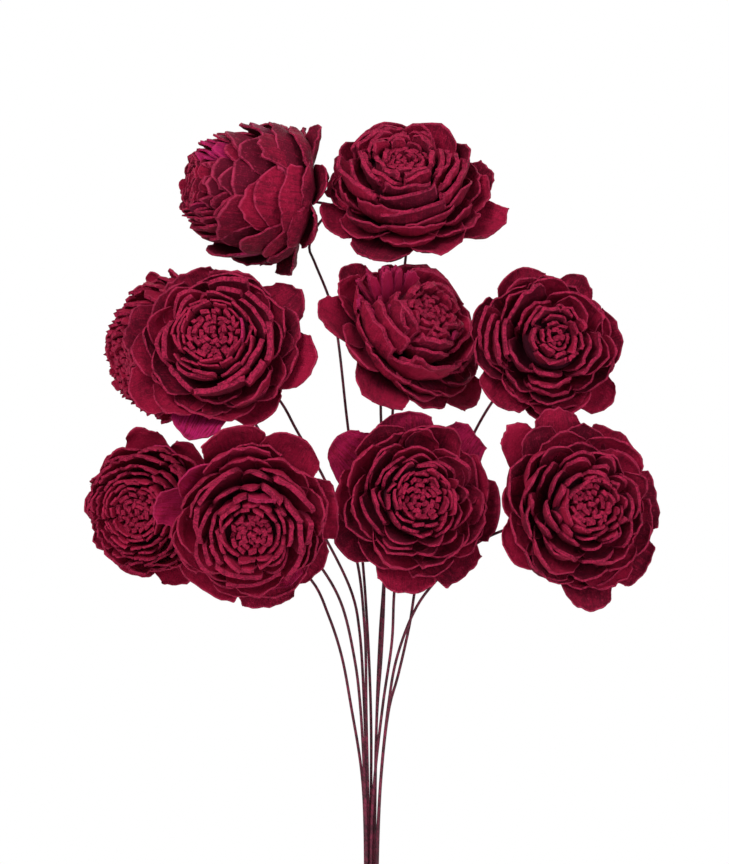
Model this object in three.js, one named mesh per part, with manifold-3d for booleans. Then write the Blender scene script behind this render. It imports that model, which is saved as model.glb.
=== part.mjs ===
// A bunch of ten dyed sola wood roses on wire stems.
// Millimetres. +Z runs up the bunch, -Y is its front, and the origin is the middle of the tie.

import Module from "manifold-3d";
import * as THREE from "three";
import { mergeVertices } from "three/addons/utils/BufferGeometryUtils.js";

const wasm = await Module();
wasm.setup();

// Wire stems, wrapped in dyed paper
const WIRE_DIAMETER = 1.2;
const WIRE_SIDES = 5;
const WIRE_GAP = 0.4;
const LOWER_STEM_STEPS = 5;
const UPPER_STEM_STEP = 18;
const TAIL_LENGTH = 45;

// A stem bends at one place, just above where it leaves the bundle
const BEND_GAP = 0.4;

// Tie round the gathered stems
const TIE_WIDTH = 14;
const TIE_THICKNESS = 1.2;
const TIE_CLEARANCE = 0.3;
const TIE_SIDES = 16;

// Pith core of a head, and the wire's socket in its back
const CORE_RADIUS = 4;
const CORE_SIDES = 8;
const SOCKET_DEPTH = 7;
const SOCKET_CLEARANCE = 0.45;
const SOCKET_SIDES = 6;
const SEAT_CLEARANCE = 0.3;

// Head shapes. The top is the heart's height above the back of the core, and below lists how far
// under it the tips of each round of petals end, from the heart outwards.
const CUP = { top: 32, below: [0.5, 3.5, 10.5] };
const LOW_DOME = { top: 41, below: [4, 9, 18] };
const DOME = { top: 56, below: [6.5, 14, 32] };

// Heart: a rolled fringe of square chips on a flared drum
const HEART_FLARE_START = 12;
const HEART_FLARE_END = 21;
const FRINGE_DEPTH = 7;
const HEART_DISHING = 2.5;
const HEART_RIM = 0.6;
const CHIP_THICKNESS = 2.4;
const CHIP_SINK = 1.5;
const CHIP_GAP = 1.3;
const CHIP_RAGGEDNESS = 1.2;
const CHIP_TWIST = 0.15;
const CHIP_RINGS = [{ share: 0.34, count: 4 }, { share: 0.9, count: 8 }];

// A petal's foot, and its section
const FOOT_WIDTH = 3;
const COLLAR_THICKNESS = 3.6;
const COLLAR_SIDES = 6;
const SQUARE_EDGED = [[-1, -1], [0, -1], [1, -1], [1, 1], [0, 1], [-1, 1]];
const THIN_EDGED = [[-1, 0], [0, -1], [1, 0], [0, 1]];

// Small differences between like petals
const SPREAD = { radius: 0.6, height: 1.1, turn: 5, sway: 0.8, outermostSway: 1.2 };

// Inner petals: two rounds of thick slabs with square ends. A round's feet lie above its collar's
// lower edge, and its tips stand beyond the heart's side.
const SLAB_THICKNESS = 2.4;
const INNER_COLLAR_HEIGHT = 4.7;
const FIRST_SLABS = { order: 0, foot: 3.5, beyondHeart: 5.4, elbow: 0.96, elbowRise: 2.5 };
const SECOND_SLABS = { order: 1, foot: 1.3, beyondHeart: 11, elbow: 0.95, elbowRise: 0.6 };

// Outer petals: a round of broad cupped petals, and the outermost ones, each placed by itself,
// in two layers
const PETAL_THICKNESS = 2;
const OUTER_COLLAR_BOTTOM = 0.4;
const BROAD_PETALS = { order: 2, foot: 4.8, beyondHeart: 17, elbow: 0.9, elbowRise: 0 };
const OUTERMOST_FOOT = 1.1;
const OUTERMOST_LAYER = 1.9;
const OUTERMOST_ELBOW = 0.7;
const OUTERMOST_DROP = 1.5;

// Straight length of wire behind a head before its bend
const NECK_LENGTH = 6;
const NECK_BEND = 9;

// Burgundy dye, and the dark wire
const PITH_COLOURS = { heart: 0x7d0f2c, inner_petals: 0x8a1231, outer_petals: 0x6f0d27 };
const WIRE_COLOUR = 0x3a1524;
const TIE_COLOUR = 0x5a1226;

// The ten roses. seat is the back of the core, and facing is the head's turn to the right and
// its tilt up, in degrees. heart is the heart's radius. slabs counts the slabs of each round.
// outermost lists each outermost petal's direction in degrees (0 is right, 90 is up), its reach
// and its width. slot is the stem's place in the tie: its row, from front to back, and its step
// along the row.
const ROSES = [
  {
    name: "rose_01",
    seat: [-29.5, 55, 325],
    facing: [-70, 7],
    shape: DOME,
    heart: 14.5,
    slabs: [4, 5],
    slabWidth: 19,
    broad: { count: 5, width: 25 },
    outermostTip: 2,
    outermost: [[10, 32, 19], [62, 36, 17], [110, 35, 17], [165, 34, 20], [220, 34, 20], [275, 35, 21],
      [325, 33, 19]],
    slot: [1, 0],
    lower: [[0, 2, 60]],
    pivot: [0, 4, 97],
    upper: [[-1.5, 8, 135], [-4, 17, 169], [-10.5, 36, 226], [-17, 52, 275], [-25.5, 66, 298],
      [-28, 72, 305], [-25, 76, 314], [-18, 76, 323], [-12, 70, 331]],
  },
  {
    name: "rose_02",
    seat: [16, 46, 321],
    facing: [-4, 42],
    shape: CUP,
    heart: 15,
    slabs: [4, 5],
    slabWidth: 16,
    broad: { count: 5, width: 23 },
    outermostTip: 9,
    outermost: [[15, 40, 24], [85, 38, 26], [168, 38, 22], [210, 42, 24], [254, 45, 28], [295, 44, 26],
      [332, 48, 26]],
    slot: [1, 1],
    lower: [[1.8, 2, 60]],
    pivot: [2.6, 4, 103],
    upper: [[4, 8, 135], [5.5, 15, 155], [9.5, 40, 226], [13, 56, 275]],
  },
  {
    name: "rose_03",
    seat: [-62, -3, 254],
    facing: [-9, 16],
    shape: CUP,
    heart: 16,
    slabs: [4, 5],
    slabWidth: 15,
    broad: { count: 5, width: 21 },
    outermostTip: 10,
    outermost: [[38, 41, 25], [-12, 42, 25], [-56, 38, 26], [-105, 42, 24], [-150, 44, 26],
      [168, 43, 25], [118, 38, 26]],
    slot: [0, 0],
    lower: [[-1.2, 0, 60]],
    pivot: [-2, 0, 99],
    upper: [[-2.8, 1, 137], [-7, 6, 169], [-20, 10, 200], [-32, 13, 221], [-41, 17, 236]],
  },
  {
    name: "rose_04",
    seat: [-78, 56, 261],
    facing: [-58, -14],
    shape: LOW_DOME,
    heart: 15,
    slabs: [4, 5],
    slabWidth: 15,
    broad: { count: 5, width: 18 },
    outermostTip: 8,
    outermost: [[20, 34, 18], [75, 37, 13], [115, 38, 12], [160, 36, 16], [225, 36, 20], [280, 35, 20],
      [330, 34, 18]],
    slot: [1, -1],
    lower: [[-1.8, 2, 60]],
    pivot: [-2.8, 3, 99],
    upper: [[-5, 6, 135], [-8, 12, 150], [-21, 28, 176], [-48, 56, 218], [-64, 72, 246]],
  },
  {
    name: "rose_05",
    seat: [10.5, 18, 258],
    facing: [41, 30],
    shape: CUP,
    heart: 14,
    slabs: [4, 5],
    slabWidth: 14,
    broad: { count: 5, width: 20 },
    outermostTip: 8,
    outermost: [[44, 40, 25], [-10, 39, 26], [-50, 43, 24], [-92, 40, 25], [-135, 42, 25],
      [168, 48, 25], [120, 42, 24]],
    slot: [0, 1],
    lower: [[1.6, 0, 60]],
    pivot: [2.6, 0.6, 100],
    upper: [[4.4, 3, 123], [5.6, 7, 148], [6, 19, 191], [4.5, 33, 226], [4, 40, 242]],
  },
  {
    name: "rose_06",
    seat: [73, 3, 255],
    facing: [10, 12],
    shape: CUP,
    heart: 13,
    slabs: [4, 5],
    slabWidth: 14,
    broad: { count: 5, width: 18 },
    outermostTip: 10,
    outermost: [[106, 36, 24], [60, 36, 22], [8, 34, 24], [-44, 37, 20], [-90, 33, 23], [-135, 34, 23],
      [156, 34, 22]],
    slot: [0, 2],
    lower: [[4.2, 0.6, 70]],
    pivot: [8, 1, 103],
    upper: [[11.4, 2, 115], [16.5, 4, 137], [20.5, 8, 159], [33, 15, 192], [47, 20, 224], [57, 21, 239]],
  },
  {
    name: "rose_07",
    seat: [-90, 11, 190.5],
    facing: [-20, -8],
    shape: CUP,
    heart: 15,
    slabs: [4, 5],
    slabWidth: 11,
    broad: { count: 5, width: 15 },
    outermostTip: 9,
    outermost: [[98, 34, 22], [45, 32, 22], [-10, 31, 22], [-68, 36, 25], [-118, 32, 23], [-170, 28, 24],
      [140, 30, 20]],
    slot: [0, -1],
    lower: [[-3.6, 0, 70]],
    pivot: [-8.6, 0.4, 103],
    upper: [[-12.8, 1, 125], [-18.2, 2, 141.5], [-25.5, 5, 156.5], [-50, 13, 176], [-74, 20, 186]],
  },
  {
    name: "rose_08",
    seat: [-50, -30, 188],
    facing: [2, -19],
    shape: CUP,
    heart: 15,
    slabs: [4, 5],
    slabWidth: 15,
    broad: { count: 5, width: 20 },
    outermostTip: 9,
    outermost: [[103, 41, 26], [60, 41, 25], [8, 36, 26], [-40, 37, 25], [-80, 41, 25], [-125, 38, 26],
      [172, 41, 18]],
    slot: [-1, -1],
    lower: [[-2.4, -2, 60]],
    pivot: [-4.6, -2.2, 103],
    upper: [[-7, -3, 123], [-13, -5, 148], [-22, -9, 164], [-36, -14, 180]],
  },
  {
    name: "rose_09",
    seat: [16, -12, 191],
    facing: [9, 5],
    shape: CUP,
    heart: 15,
    slabs: [4, 5],
    slabWidth: 14,
    broad: { count: 5, width: 19 },
    outermostTip: 9,
    outermost: [[142, 42, 26], [96, 39, 26], [46, 40, 24], [-8, 38, 26], [-54, 39, 24], [-96, 39, 25],
      [-150, 37, 26]],
    slot: [-1, 0],
    lower: [[0.6, -2, 60]],
    pivot: [5, -1.6, 103],
    upper: [[9, -1, 131], [10.2, 1, 154], [14, 4, 176]],
  },
  {
    name: "rose_10",
    seat: [83, -20, 186.5],
    facing: [16, 8],
    shape: CUP,
    heart: 14,
    slabs: [4, 5],
    slabWidth: 14,
    broad: { count: 5, width: 19 },
    outermostTip: 8,
    outermost: [[128, 45, 20], [100, 44, 22], [55, 40, 25], [8, 38, 27], [-42, 40, 27], [-82, 43, 22],
      [-150, 35, 26]],
    slot: [-1, 1],
    lower: [[4, -2, 70]],
    pivot: [7.4, -2.4, 103],
    upper: [[10.8, -3.4, 123], [18, -5, 143], [25, -7, 154], [46, -11, 174], [66, -12, 182]],
  },
];

// A repeatable spread of small differences between like pieces, from -1 to 1
function vary(a, b) {
  const wave = Math.sin(a * 12.9898 + b * 78.233) * 43758.5453;
  return (wave - Math.floor(wave)) * 2 - 1;
}

// Joining and cutting of closed meshes
function toSolid(geometry) {
  const bare = geometry.clone();
  bare.deleteAttribute("normal");
  bare.deleteAttribute("uv");
  const merged = mergeVertices(bare, 1e-4);
  return new wasm.Manifold(new wasm.Mesh({
    numProp: 3,
    vertProperties: new Float32Array(merged.attributes.position.array),
    triVerts: new Uint32Array(merged.index.array),
  }));
}

function toGeometry(solid) {
  const mesh = solid.getMesh();
  const geometry = new THREE.BufferGeometry();
  geometry.setAttribute("position", new THREE.BufferAttribute(mesh.vertProperties, 3));
  geometry.setIndex(new THREE.BufferAttribute(mesh.triVerts, 1));
  geometry.computeVertexNormals();
  return geometry;
}

function joined(solids) {
  return solids.reduce((whole, solid) => whole.add(solid));
}

// A turned solid from an outline of [radius, height] points that starts and ends on the axis,
// or closes on itself
function turned(outline, sides) {
  const geometry = new THREE.LatheGeometry(outline.map(([r, z]) => new THREE.Vector2(r, z)), sides);
  return geometry.rotateX(Math.PI / 2);
}

// The heart's flared outline up to a height, made larger all round by a clearance
function heartOutline(radius, clearance, top) {
  return [
    [0, -clearance],
    [CORE_RADIUS + clearance, -clearance],
    [CORE_RADIUS + clearance, HEART_FLARE_START - clearance / 2],
    [radius + clearance, HEART_FLARE_END - clearance / 2],
    [radius + clearance, top + clearance],
    [0, top + clearance],
  ];
}

function heartSolid(rose, index) {
  const floor = rose.shape.top - FRINGE_DEPTH;
  let solid = toSolid(turned(heartOutline(rose.heart, 0, floor), CORE_SIDES));
  const middle = rose.heart - HEART_RIM - CHIP_THICKNESS / 2;
  CHIP_RINGS.forEach(({ share, count }, ring) => {
    const radius = middle * share;
    const width = (2 * Math.PI * radius) / count - CHIP_GAP;
    for (let chip = 0; chip < count; chip += 1) {
      const dish = HEART_DISHING * (1 - share) + CHIP_RAGGEDNESS * vary(index * 7 + ring, chip);
      const top = rose.shape.top - Math.max(dish, 0);
      const height = top - floor + CHIP_SINK;
      const box = new THREE.BoxGeometry(CHIP_THICKNESS, width, height);
      box.translate(radius, 0, floor - CHIP_SINK + height / 2);
      box.rotateZ((2 * Math.PI * (chip + 0.5 * ring)) / count + CHIP_TWIST * vary(chip, index));
      solid = solid.add(toSolid(box));
    }
  });
  const socketRadius = WIRE_DIAMETER / 2 + SOCKET_CLEARANCE;
  const socket = new THREE.CylinderGeometry(socketRadius, socketRadius, 2 * SOCKET_DEPTH, SOCKET_SIDES);
  socket.rotateX(Math.PI / 2);
  return solid.subtract(toSolid(socket));
}

// One petal: a bent plate that grows from its foot along a curve of [radius, height] points,
// with its middle lying in the direction of its azimuth. The rows run from foot to tip. The
// section lists the corners round the plate as [share of the half width, face]: -1 is the face
// towards the heart, 1 the back, and 0 a sharp edge between them.
function petal({ foot, elbow, tip, azimuth, rows, section, cup, thickness, roundness, sway }) {
  const curve = new THREE.QuadraticBezierCurve(
    new THREE.Vector2(...foot), new THREE.Vector2(...elbow), new THREE.Vector2(...tip));
  const turn = THREE.MathUtils.degToRad(azimuth);
  const places = rows.flatMap(({ at, halfWidth }) => section.map(([u, face]) => {
    const along = at * (1 - roundness * u * u * at);
    const point = curve.getPoint(along);
    const slope = curve.getTangent(along);
    const side = u * halfWidth + sway * at * at;
    const offset = (face * thickness) / 2 - (side * side) / (2 * cup);
    const radius = point.x + slope.y * offset;
    return [
      radius * Math.cos(turn) - side * Math.sin(turn),
      radius * Math.sin(turn) + side * Math.cos(turn),
      point.y - slope.x * offset,
    ];
  }));
  const corners = section.length;
  const lastRow = places.length - corners;
  const index = [];
  const quad = (a, b, c, d) => index.push(a, b, c, a, c, d);
  for (let row = 0; row < lastRow; row += corners) {
    for (let corner = 0; corner < corners; corner += 1) {
      const next = (corner + 1) % corners;
      quad(row + corner, row + corners + corner, row + corners + next, row + next);
    }
  }
  for (let corner = 0; corner < corners / 2 - 1; corner += 1) {
    const end = [corner, corner + 1, corners - 2 - corner, corners - 1 - corner];
    quad(...end);
    quad(...end.reverse().map((place) => place + lastRow));
  }
  const geometry = new THREE.BufferGeometry();
  geometry.setAttribute("position", new THREE.Float32BufferAttribute(places.flat(), 3));
  geometry.setIndex(index);
  return toSolid(geometry);
}

// The radius where petals' feet stand, in the ring that glues them together round the core
function footRadius() {
  return CORE_RADIUS + SEAT_CLEARANCE + COLLAR_THICKNESS / 2;
}

function collar(bottom, top) {
  const bore = (CORE_RADIUS + SEAT_CLEARANCE) / Math.cos(Math.PI / COLLAR_SIDES);
  const rim = CORE_RADIUS + SEAT_CLEARANCE + COLLAR_THICKNESS;
  const outline = [[bore, bottom], [rim, bottom], [rim, top], [bore, top], [bore, bottom]];
  return toSolid(turned(outline, COLLAR_SIDES));
}

// The height where the inner collar starts, just under the heart's flare
function innerCollarBottom() {
  return HEART_FLARE_START - SEAT_CLEARANCE - INNER_COLLAR_HEIGHT;
}

// A round of like petals beside the heart
function petalRound(round, rose, index, { bottom, count, halfWidth, section, thickness, roundness, turn }) {
  const radius = rose.heart + round.beyondHeart;
  const foot = bottom + round.foot;
  return Array.from({ length: count }, (_, step) => {
    const spread = vary(index + 3 * round.order, step);
    return petal({
      foot: [footRadius(), foot],
      elbow: [radius * round.elbow, foot + round.elbowRise],
      tip: [
        radius + SPREAD.radius * spread,
        rose.shape.top - rose.shape.below[round.order] + SPREAD.height * vary(step, index),
      ],
      azimuth: (360 * (step + turn)) / count + SPREAD.turn * spread,
      rows: [
        { at: 0, halfWidth: FOOT_WIDTH / 2 },
        { at: 0.55, halfWidth: halfWidth * 0.85 },
        { at: 1, halfWidth: halfWidth * (1 - 0.25 * roundness) },
      ],
      section,
      cup: radius,
      thickness,
      roundness: roundness * 0.16,
      sway: SPREAD.sway * spread,
    });
  });
}

function innerPetals(rose, index) {
  const slabs = {
    bottom: innerCollarBottom(),
    halfWidth: rose.slabWidth / 2,
    section: SQUARE_EDGED,
    thickness: SLAB_THICKNESS,
    roundness: 0.15,
  };
  const solid = joined([
    collar(innerCollarBottom(), innerCollarBottom() + INNER_COLLAR_HEIGHT),
    ...petalRound(FIRST_SLABS, rose, index, { ...slabs, count: rose.slabs[0], turn: 0.1 * index }),
    ...petalRound(SECOND_SLABS, rose, index, { ...slabs, count: rose.slabs[1], turn: 0.3 + 0.1 * index }),
  ]);
  const room = turned(heartOutline(rose.heart, SEAT_CLEARANCE, rose.shape.top), CORE_SIDES);
  return solid.subtract(toSolid(room));
}

function outerPetals(rose, index) {
  const broad = petalRound(BROAD_PETALS, rose, index, {
    bottom: OUTER_COLLAR_BOTTOM,
    count: rose.broad.count,
    halfWidth: rose.broad.width / 2,
    section: THIN_EDGED,
    thickness: PETAL_THICKNESS,
    roundness: 0.8,
    turn: 0.5,
  });
  const outermost = rose.outermost.map(([azimuth, reach, width], step) => {
    const layer = (step % 2) * OUTERMOST_LAYER;
    const foot = OUTER_COLLAR_BOTTOM + OUTERMOST_FOOT + layer;
    return petal({
      foot: [footRadius(), foot],
      elbow: [reach * OUTERMOST_ELBOW, foot - OUTERMOST_DROP],
      tip: [reach - PETAL_THICKNESS / 2, rose.outermostTip + layer],
      azimuth,
      rows: [
        { at: 0, halfWidth: FOOT_WIDTH / 2 },
        { at: 0.66, halfWidth: width / 2 },
        { at: 1, halfWidth: width * 0.38 },
      ],
      section: THIN_EDGED,
      cup: width,
      thickness: PETAL_THICKNESS,
      roundness: 0.12,
      sway: SPREAD.outermostSway * vary(index, step),
    });
  });
  const ring = collar(OUTER_COLLAR_BOTTOM, innerCollarBottom() - SEAT_CLEARANCE);
  return joined([ring, ...broad, ...outermost]);
}

// A head's own frame: +Z the way it faces, +X to the viewer's right
function headFrame(rose) {
  const [turn, tilt] = rose.facing.map(THREE.MathUtils.degToRad);
  const facing = new THREE.Vector3(
    Math.sin(turn) * Math.cos(tilt), -Math.cos(turn) * Math.cos(tilt), Math.sin(tilt));
  const right = new THREE.Vector3(0, 0, 1).cross(facing).normalize();
  const up = facing.clone().cross(right);
  return { facing, basis: new THREE.Matrix4().makeBasis(right, up, facing) };
}

// The middle of a stem's slot in the tie: the wires lie in three rows, nested like bricks
function slotPlace([row, step]) {
  const pitch = WIRE_DIAMETER + WIRE_GAP;
  const shift = row === 0 ? -0.5 : 0;
  return [(step + shift) * pitch, row * pitch * Math.sin(Math.PI / 3)];
}

// The stretch of a curve between two of its parameters
class Stretch extends THREE.Curve {
  constructor(curve, start, end) {
    super();
    this.curve = curve;
    this.start = start;
    this.end = end;
  }

  getPoint(t, target = new THREE.Vector3()) {
    return this.curve.getPoint(this.start + (this.end - this.start) * t, target);
  }
}

function wireAlong(path, steps) {
  const section = new THREE.Shape(Array.from({ length: WIRE_SIDES }, (_, side) => {
    const turn = (2 * Math.PI * side) / WIRE_SIDES;
    return new THREE.Vector2(Math.cos(turn), Math.sin(turn)).multiplyScalar(WIRE_DIAMETER / 2);
  }));
  return new THREE.ExtrudeGeometry(section, { steps, bevelEnabled: false, extrudePath: path });
}

// One stem as two stretches of the same curve, below and above its bend
function stemGeometries(rose) {
  const seat = new THREE.Vector3(...rose.seat);
  const { facing } = headFrame(rose);
  const [x, y] = slotPlace(rose.slot);
  const points = [
    [x, y, -TAIL_LENGTH],
    [x, y, 0],
    [x, y, TIE_WIDTH],
    ...rose.lower,
    rose.pivot,
    ...rose.upper,
  ].map((place) => new THREE.Vector3(...place));
  const incoming = points.at(-1).clone().sub(seat).normalize();
  points.push(seat.clone().addScaledVector(facing, -NECK_BEND - NECK_LENGTH).addScaledVector(incoming, 2));
  points.push(seat.clone().addScaledVector(facing, -NECK_LENGTH));
  points.push(seat.clone().addScaledVector(facing, SOCKET_DEPTH - SEAT_CLEARANCE));
  const curve = new THREE.CatmullRomCurve3(points, false, "centripetal");
  const bend = (3 + rose.lower.length) / (points.length - 1);
  const parting = BEND_GAP / 2 / curve.getLength();
  const upper = new Stretch(curve, bend + parting, 1);
  return {
    lower: wireAlong(new Stretch(curve, 0, bend - parting), LOWER_STEM_STEPS),
    upper: wireAlong(upper, Math.ceil(upper.getLength() / UPPER_STEM_STEP)),
  };
}

function tieGeometry() {
  const farthest = Math.max(...ROSES.map((rose) => Math.hypot(...slotPlace(rose.slot))));
  const bore = (farthest + WIRE_DIAMETER / 2 + TIE_CLEARANCE) / Math.cos(Math.PI / TIE_SIDES);
  const rim = bore + TIE_THICKNESS;
  const edge = TIE_WIDTH / 2;
  return turned([
    [bore, -edge],
    [rim, -edge * 0.85],
    [rim, edge * 0.85],
    [bore, edge],
    [bore, -edge],
  ], TIE_SIDES);
}

function namedMesh(name, geometry, color, roughness) {
  const mesh = new THREE.Mesh(geometry, new THREE.MeshStandardMaterial({ color, roughness, metalness: 0 }));
  mesh.name = name;
  return mesh;
}

function roseGroup(rose, index) {
  const head = new THREE.Group();
  head.position.set(...rose.seat);
  head.quaternion.setFromRotationMatrix(headFrame(rose).basis);
  const pieces = { heart: heartSolid, inner_petals: innerPetals, outer_petals: outerPetals };
  for (const [piece, make] of Object.entries(pieces)) {
    head.add(namedMesh(`${rose.name}_${piece}`, toGeometry(make(rose, index)), PITH_COLOURS[piece], 0.95));
  }
  const stem = stemGeometries(rose);
  const group = new THREE.Group();
  group.add(head);
  group.add(namedMesh(`${rose.name}_stem_upper`, stem.upper, WIRE_COLOUR, 0.7));
  group.add(namedMesh(`${rose.name}_stem_lower`, stem.lower, WIRE_COLOUR, 0.7));
  return group;
}

const bunch = new THREE.Group();
bunch.add(namedMesh("tie", tieGeometry(), TIE_COLOUR, 0.85));
ROSES.forEach((rose, index) => bunch.add(roseGroup(rose, index + 1)));

export default bunch;
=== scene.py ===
import math
import random

import bpy
from mathutils import Matrix, Vector


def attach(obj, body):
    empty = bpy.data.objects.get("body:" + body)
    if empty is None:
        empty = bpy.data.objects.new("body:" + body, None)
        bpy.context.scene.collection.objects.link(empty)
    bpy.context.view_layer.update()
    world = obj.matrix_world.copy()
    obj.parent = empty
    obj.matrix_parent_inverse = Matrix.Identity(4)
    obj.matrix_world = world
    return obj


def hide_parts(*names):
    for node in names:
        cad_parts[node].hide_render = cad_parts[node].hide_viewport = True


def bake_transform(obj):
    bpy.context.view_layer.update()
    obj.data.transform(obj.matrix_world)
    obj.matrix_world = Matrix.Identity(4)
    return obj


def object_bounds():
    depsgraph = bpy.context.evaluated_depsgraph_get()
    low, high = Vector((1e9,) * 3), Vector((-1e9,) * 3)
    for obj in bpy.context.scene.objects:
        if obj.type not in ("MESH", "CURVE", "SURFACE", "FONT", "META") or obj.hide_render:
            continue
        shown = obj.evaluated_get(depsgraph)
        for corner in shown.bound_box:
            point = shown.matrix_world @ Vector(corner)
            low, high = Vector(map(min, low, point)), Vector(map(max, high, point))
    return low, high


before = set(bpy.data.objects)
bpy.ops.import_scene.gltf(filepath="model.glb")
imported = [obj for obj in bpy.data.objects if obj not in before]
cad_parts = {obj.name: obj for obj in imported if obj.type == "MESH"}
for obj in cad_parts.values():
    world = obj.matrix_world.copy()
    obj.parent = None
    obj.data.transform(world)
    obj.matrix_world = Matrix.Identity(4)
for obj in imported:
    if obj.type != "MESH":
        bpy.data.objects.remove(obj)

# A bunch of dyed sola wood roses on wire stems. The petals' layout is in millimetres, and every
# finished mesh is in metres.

CAD_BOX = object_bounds()
MM = 0.001

# Heads: the core and the drum under the heart, with heights above the back of the core
CORE_RADIUS = 4.0
DRUM_FLARE_START = 12.0
DRUM_FLARE_END = 20.0
DRUM_INSET = 0.6
DRUM_SIDES = 32
SHOULDER_WIDTH = 1.4
SHOULDER_DROP = 1.0
FOOT_RADIUS = 4.6
FOOT_HALF_WIDTH = 2.2
FRINGE_DEPTH = 8.0
HEART_DISHING = 2.4
HEART_MARGIN = 1.0

# How uneven the shares of a round are
SHARE_SPREAD = {"chips": 0.5, "packs": 0.35, "slabs": 0.45, "broad": 0.3}

# The fringed heart: rows of chips that lean out a little, as shares of their row's radius
CHIP_FIRST_ROW = 1.0
CHIP_ROW = 2.3
CHIP_ROW_CHANGE = (0.92, 1.05)
CHIP_THICKNESS = (0.75, 0.95)
CHIP_LENGTH = 9.0
CHIP_WIDTH = 2.6
CHIP_WIDENING = 1.2
CHIP_FILL = 0.93
CHIP_UNEVENNESS = 1.2
CHIP_SHIFT = 0.3
CHIP_TIP_SHIFT = (-0.4, 0.3)
CHIP_FOOT_LEAN = 0.95
CHIP_ELBOW_LEAN = 0.98
CHIP_CURVE = 1.2
CHIP_LEAST_CURVE = 3.0

# Slabs. Those beyond the heart reach down to the core, and those on it are short. They have their
# cut's whole yaw at the yaw radius, and stand looser toward the head's radius.
SLAB_FOOT = 11.5
SLAB_FOOT_STEP = 0.4
SLAB_LEAST_LENGTH = 20.0
SLAB_ELBOW_RISE = 1.5
SLAB_THICKNESS = (0.75, 1.2)
SLAB_THINNING = 0.2
SLAB_ROUNDNESS = (0.4, 1.6)
SLAB_CURVE = (0.9, 1.1)
SHORT_SLAB = 12.0
SHORT_SLAB_LEAN = 0.97
YAW_RADIUS = 22
HEAD_RADIUS = 30
LOOSE_MIDDLE = 0.3
LOOSE_RIM = 1.1
PACK_SHIFT = 2.2
PACK_RISE = 1.8
PACK_TURN = 0.02
CUPPED_FLAT = (0.45, 0.65)
CUPPED_THINNER = 0.75
CUPPED_ROUNDNESS = (0.15, 0.3)
STAIN_TINT = 0.8
STRIP_FOOT = 8.0
STRIP_ELBOW = 12.0

# Broad petals
BROAD_FOOT = 5.0
BROAD_FILL = 1.12
BROAD_STAGGER = 1.1
BROAD_SHIFT = (-2.6, 1.0)
BROAD_LEAN = (0.95, 1.06)
BROAD_UNEVENNESS = 3.4
BROAD_CUP = (0.36, 0.8)

# Outermost petals, and the fillers in front of the gaps between them. An elbow is a share of the
# reach and a height.
OUTERMOST_FOOT = 1.4
OUTERMOST_ELBOW = (0.74, -0.6)
OUTERMOST_FILL = 1.18
OUTERMOST_LAYER = 1.6
OUTERMOST_UNEVENNESS = 1.2
OUTERMOST_CUP = (0.7, 0.95)
FILLER_FOOT = 3.6
FILLER_ELBOW = (0.8, 2.6)
FILLER_FILL = 1.05
FILLER_SHORTENING = 6.0
FILLER_RISE = 5.0
FILLER_TURN = 3
FILLER_UNEVENNESS = 1.5
FILLER_CUP = (0.65, 0.85)

# Chance tints of magenta. Only the few draws above zero tint a petal.
PETAL_TINT = (-50, 0.6)
FILLER_TINT = (-16, 0.6)

# Points of a plate across it and along it
PLATE_GRID = {"heart": (7, 8), "inner_petals": (11, 14), "outer_petals": (15, 18)}

# How steeply a plate's rim fades in from the tip, how deep the tip is torn, where along its length
# the plate is at full width and begins to taper, how uneven its flanks are, and how high its waves
# and its roughness stand
RIM_FADE = 2.4
TEAR_DEPTH = 4
FULL_WIDTH_AT = 0.62
TAPER_FROM = 0.55
FLANK_RAGGEDNESS = 3
FLANK_UNEVENNESS = 0.12
WAVE_HEIGHT = 9
ROUGHNESS_HEIGHT = 0.55
LEAST_SLOPE = 0.0001

# Wire stems, and the tie that is wound round them. Its tape starts a quarter turn round, at the
# back, and the neck is the wire's last bend, under the core.
WIRE_RADIUS = 0.62
WIRE_SIDES = 10
WIRE_PITCH = 1.6
WIRE_STEP = 3.0
TAIL_LENGTH = 45.0
TIE_WIDTH = 14.0
TIE_BORE = 3.3
TIE_RADIUS = 4.05
TIE_COLUMNS = 72
TIE_ROWS = 84
TAPE_STEP = 0.45
TAPE_PITCH = 4.2
TAPE_START = 0.25
WRAP_PITCH = 3.2
SOCKET_DEPTH = 6.7
NECK_NEAR = 6.0
NECK_FAR = 15.0
NECK_SWAY = 2
BEND_REACH = 12.0

# The camera stands where the photograph was taken from, level with the bunch
CAMERA_PLACE = (-2.8, -1200.0, 220.8)
CAMERA_LENS = 137.8
CAMERA_SENSOR = 36.0

# Stage, in metres. The floor turns white for the camera away from the middle, and the sky lights
# the bunch a little less than it shows.
FLOOR_HALF = 1.5
FLOOR_GAP = 0.002
FLOOR_NEAR = 0.16
FLOOR_FAR = 0.45
FLOOR_GREY = 0.85
FLOOR_WHITENESS = 0.7
SKY_SEEN = 1.0
SKY_LIGHT = 0.94

# Lights: place, width, power and colour
LIGHT_TARGET = (0, 0, 0.24)
LIGHTS = {
    "key": ((-0.55, -1.0, 1.05), 0.7, 19, (1.0, 0.98, 0.96)),
    "fill": ((0.9, -1.1, 0.35), 1.0, 9, (0.98, 0.99, 1.0)),
    "back": ((0.3, 1.0, 0.9), 0.8, 8, (1.0, 1.0, 1.0)),
}

# Colours in linear light: magenta stains, the shade between petals, and the darker and lighter
# dye of the wires' paper and of the tape, with their seams
MAGENTA = (0.30, 0.007, 0.085)
SHADE = (0.012, 0.0004, 0.004)
PAPER_DARK = (0.022, 0.003, 0.007)
PAPER_LIGHT = (0.13, 0.011, 0.032)
PAPER_SEAM = (0.008, 0.002, 0.004)
TAPE_DARK = (0.03, 0.002, 0.008)
TAPE_LIGHT = (0.11, 0.006, 0.024)
TAPE_SEAM = (0.012, 0.001, 0.004)

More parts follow.
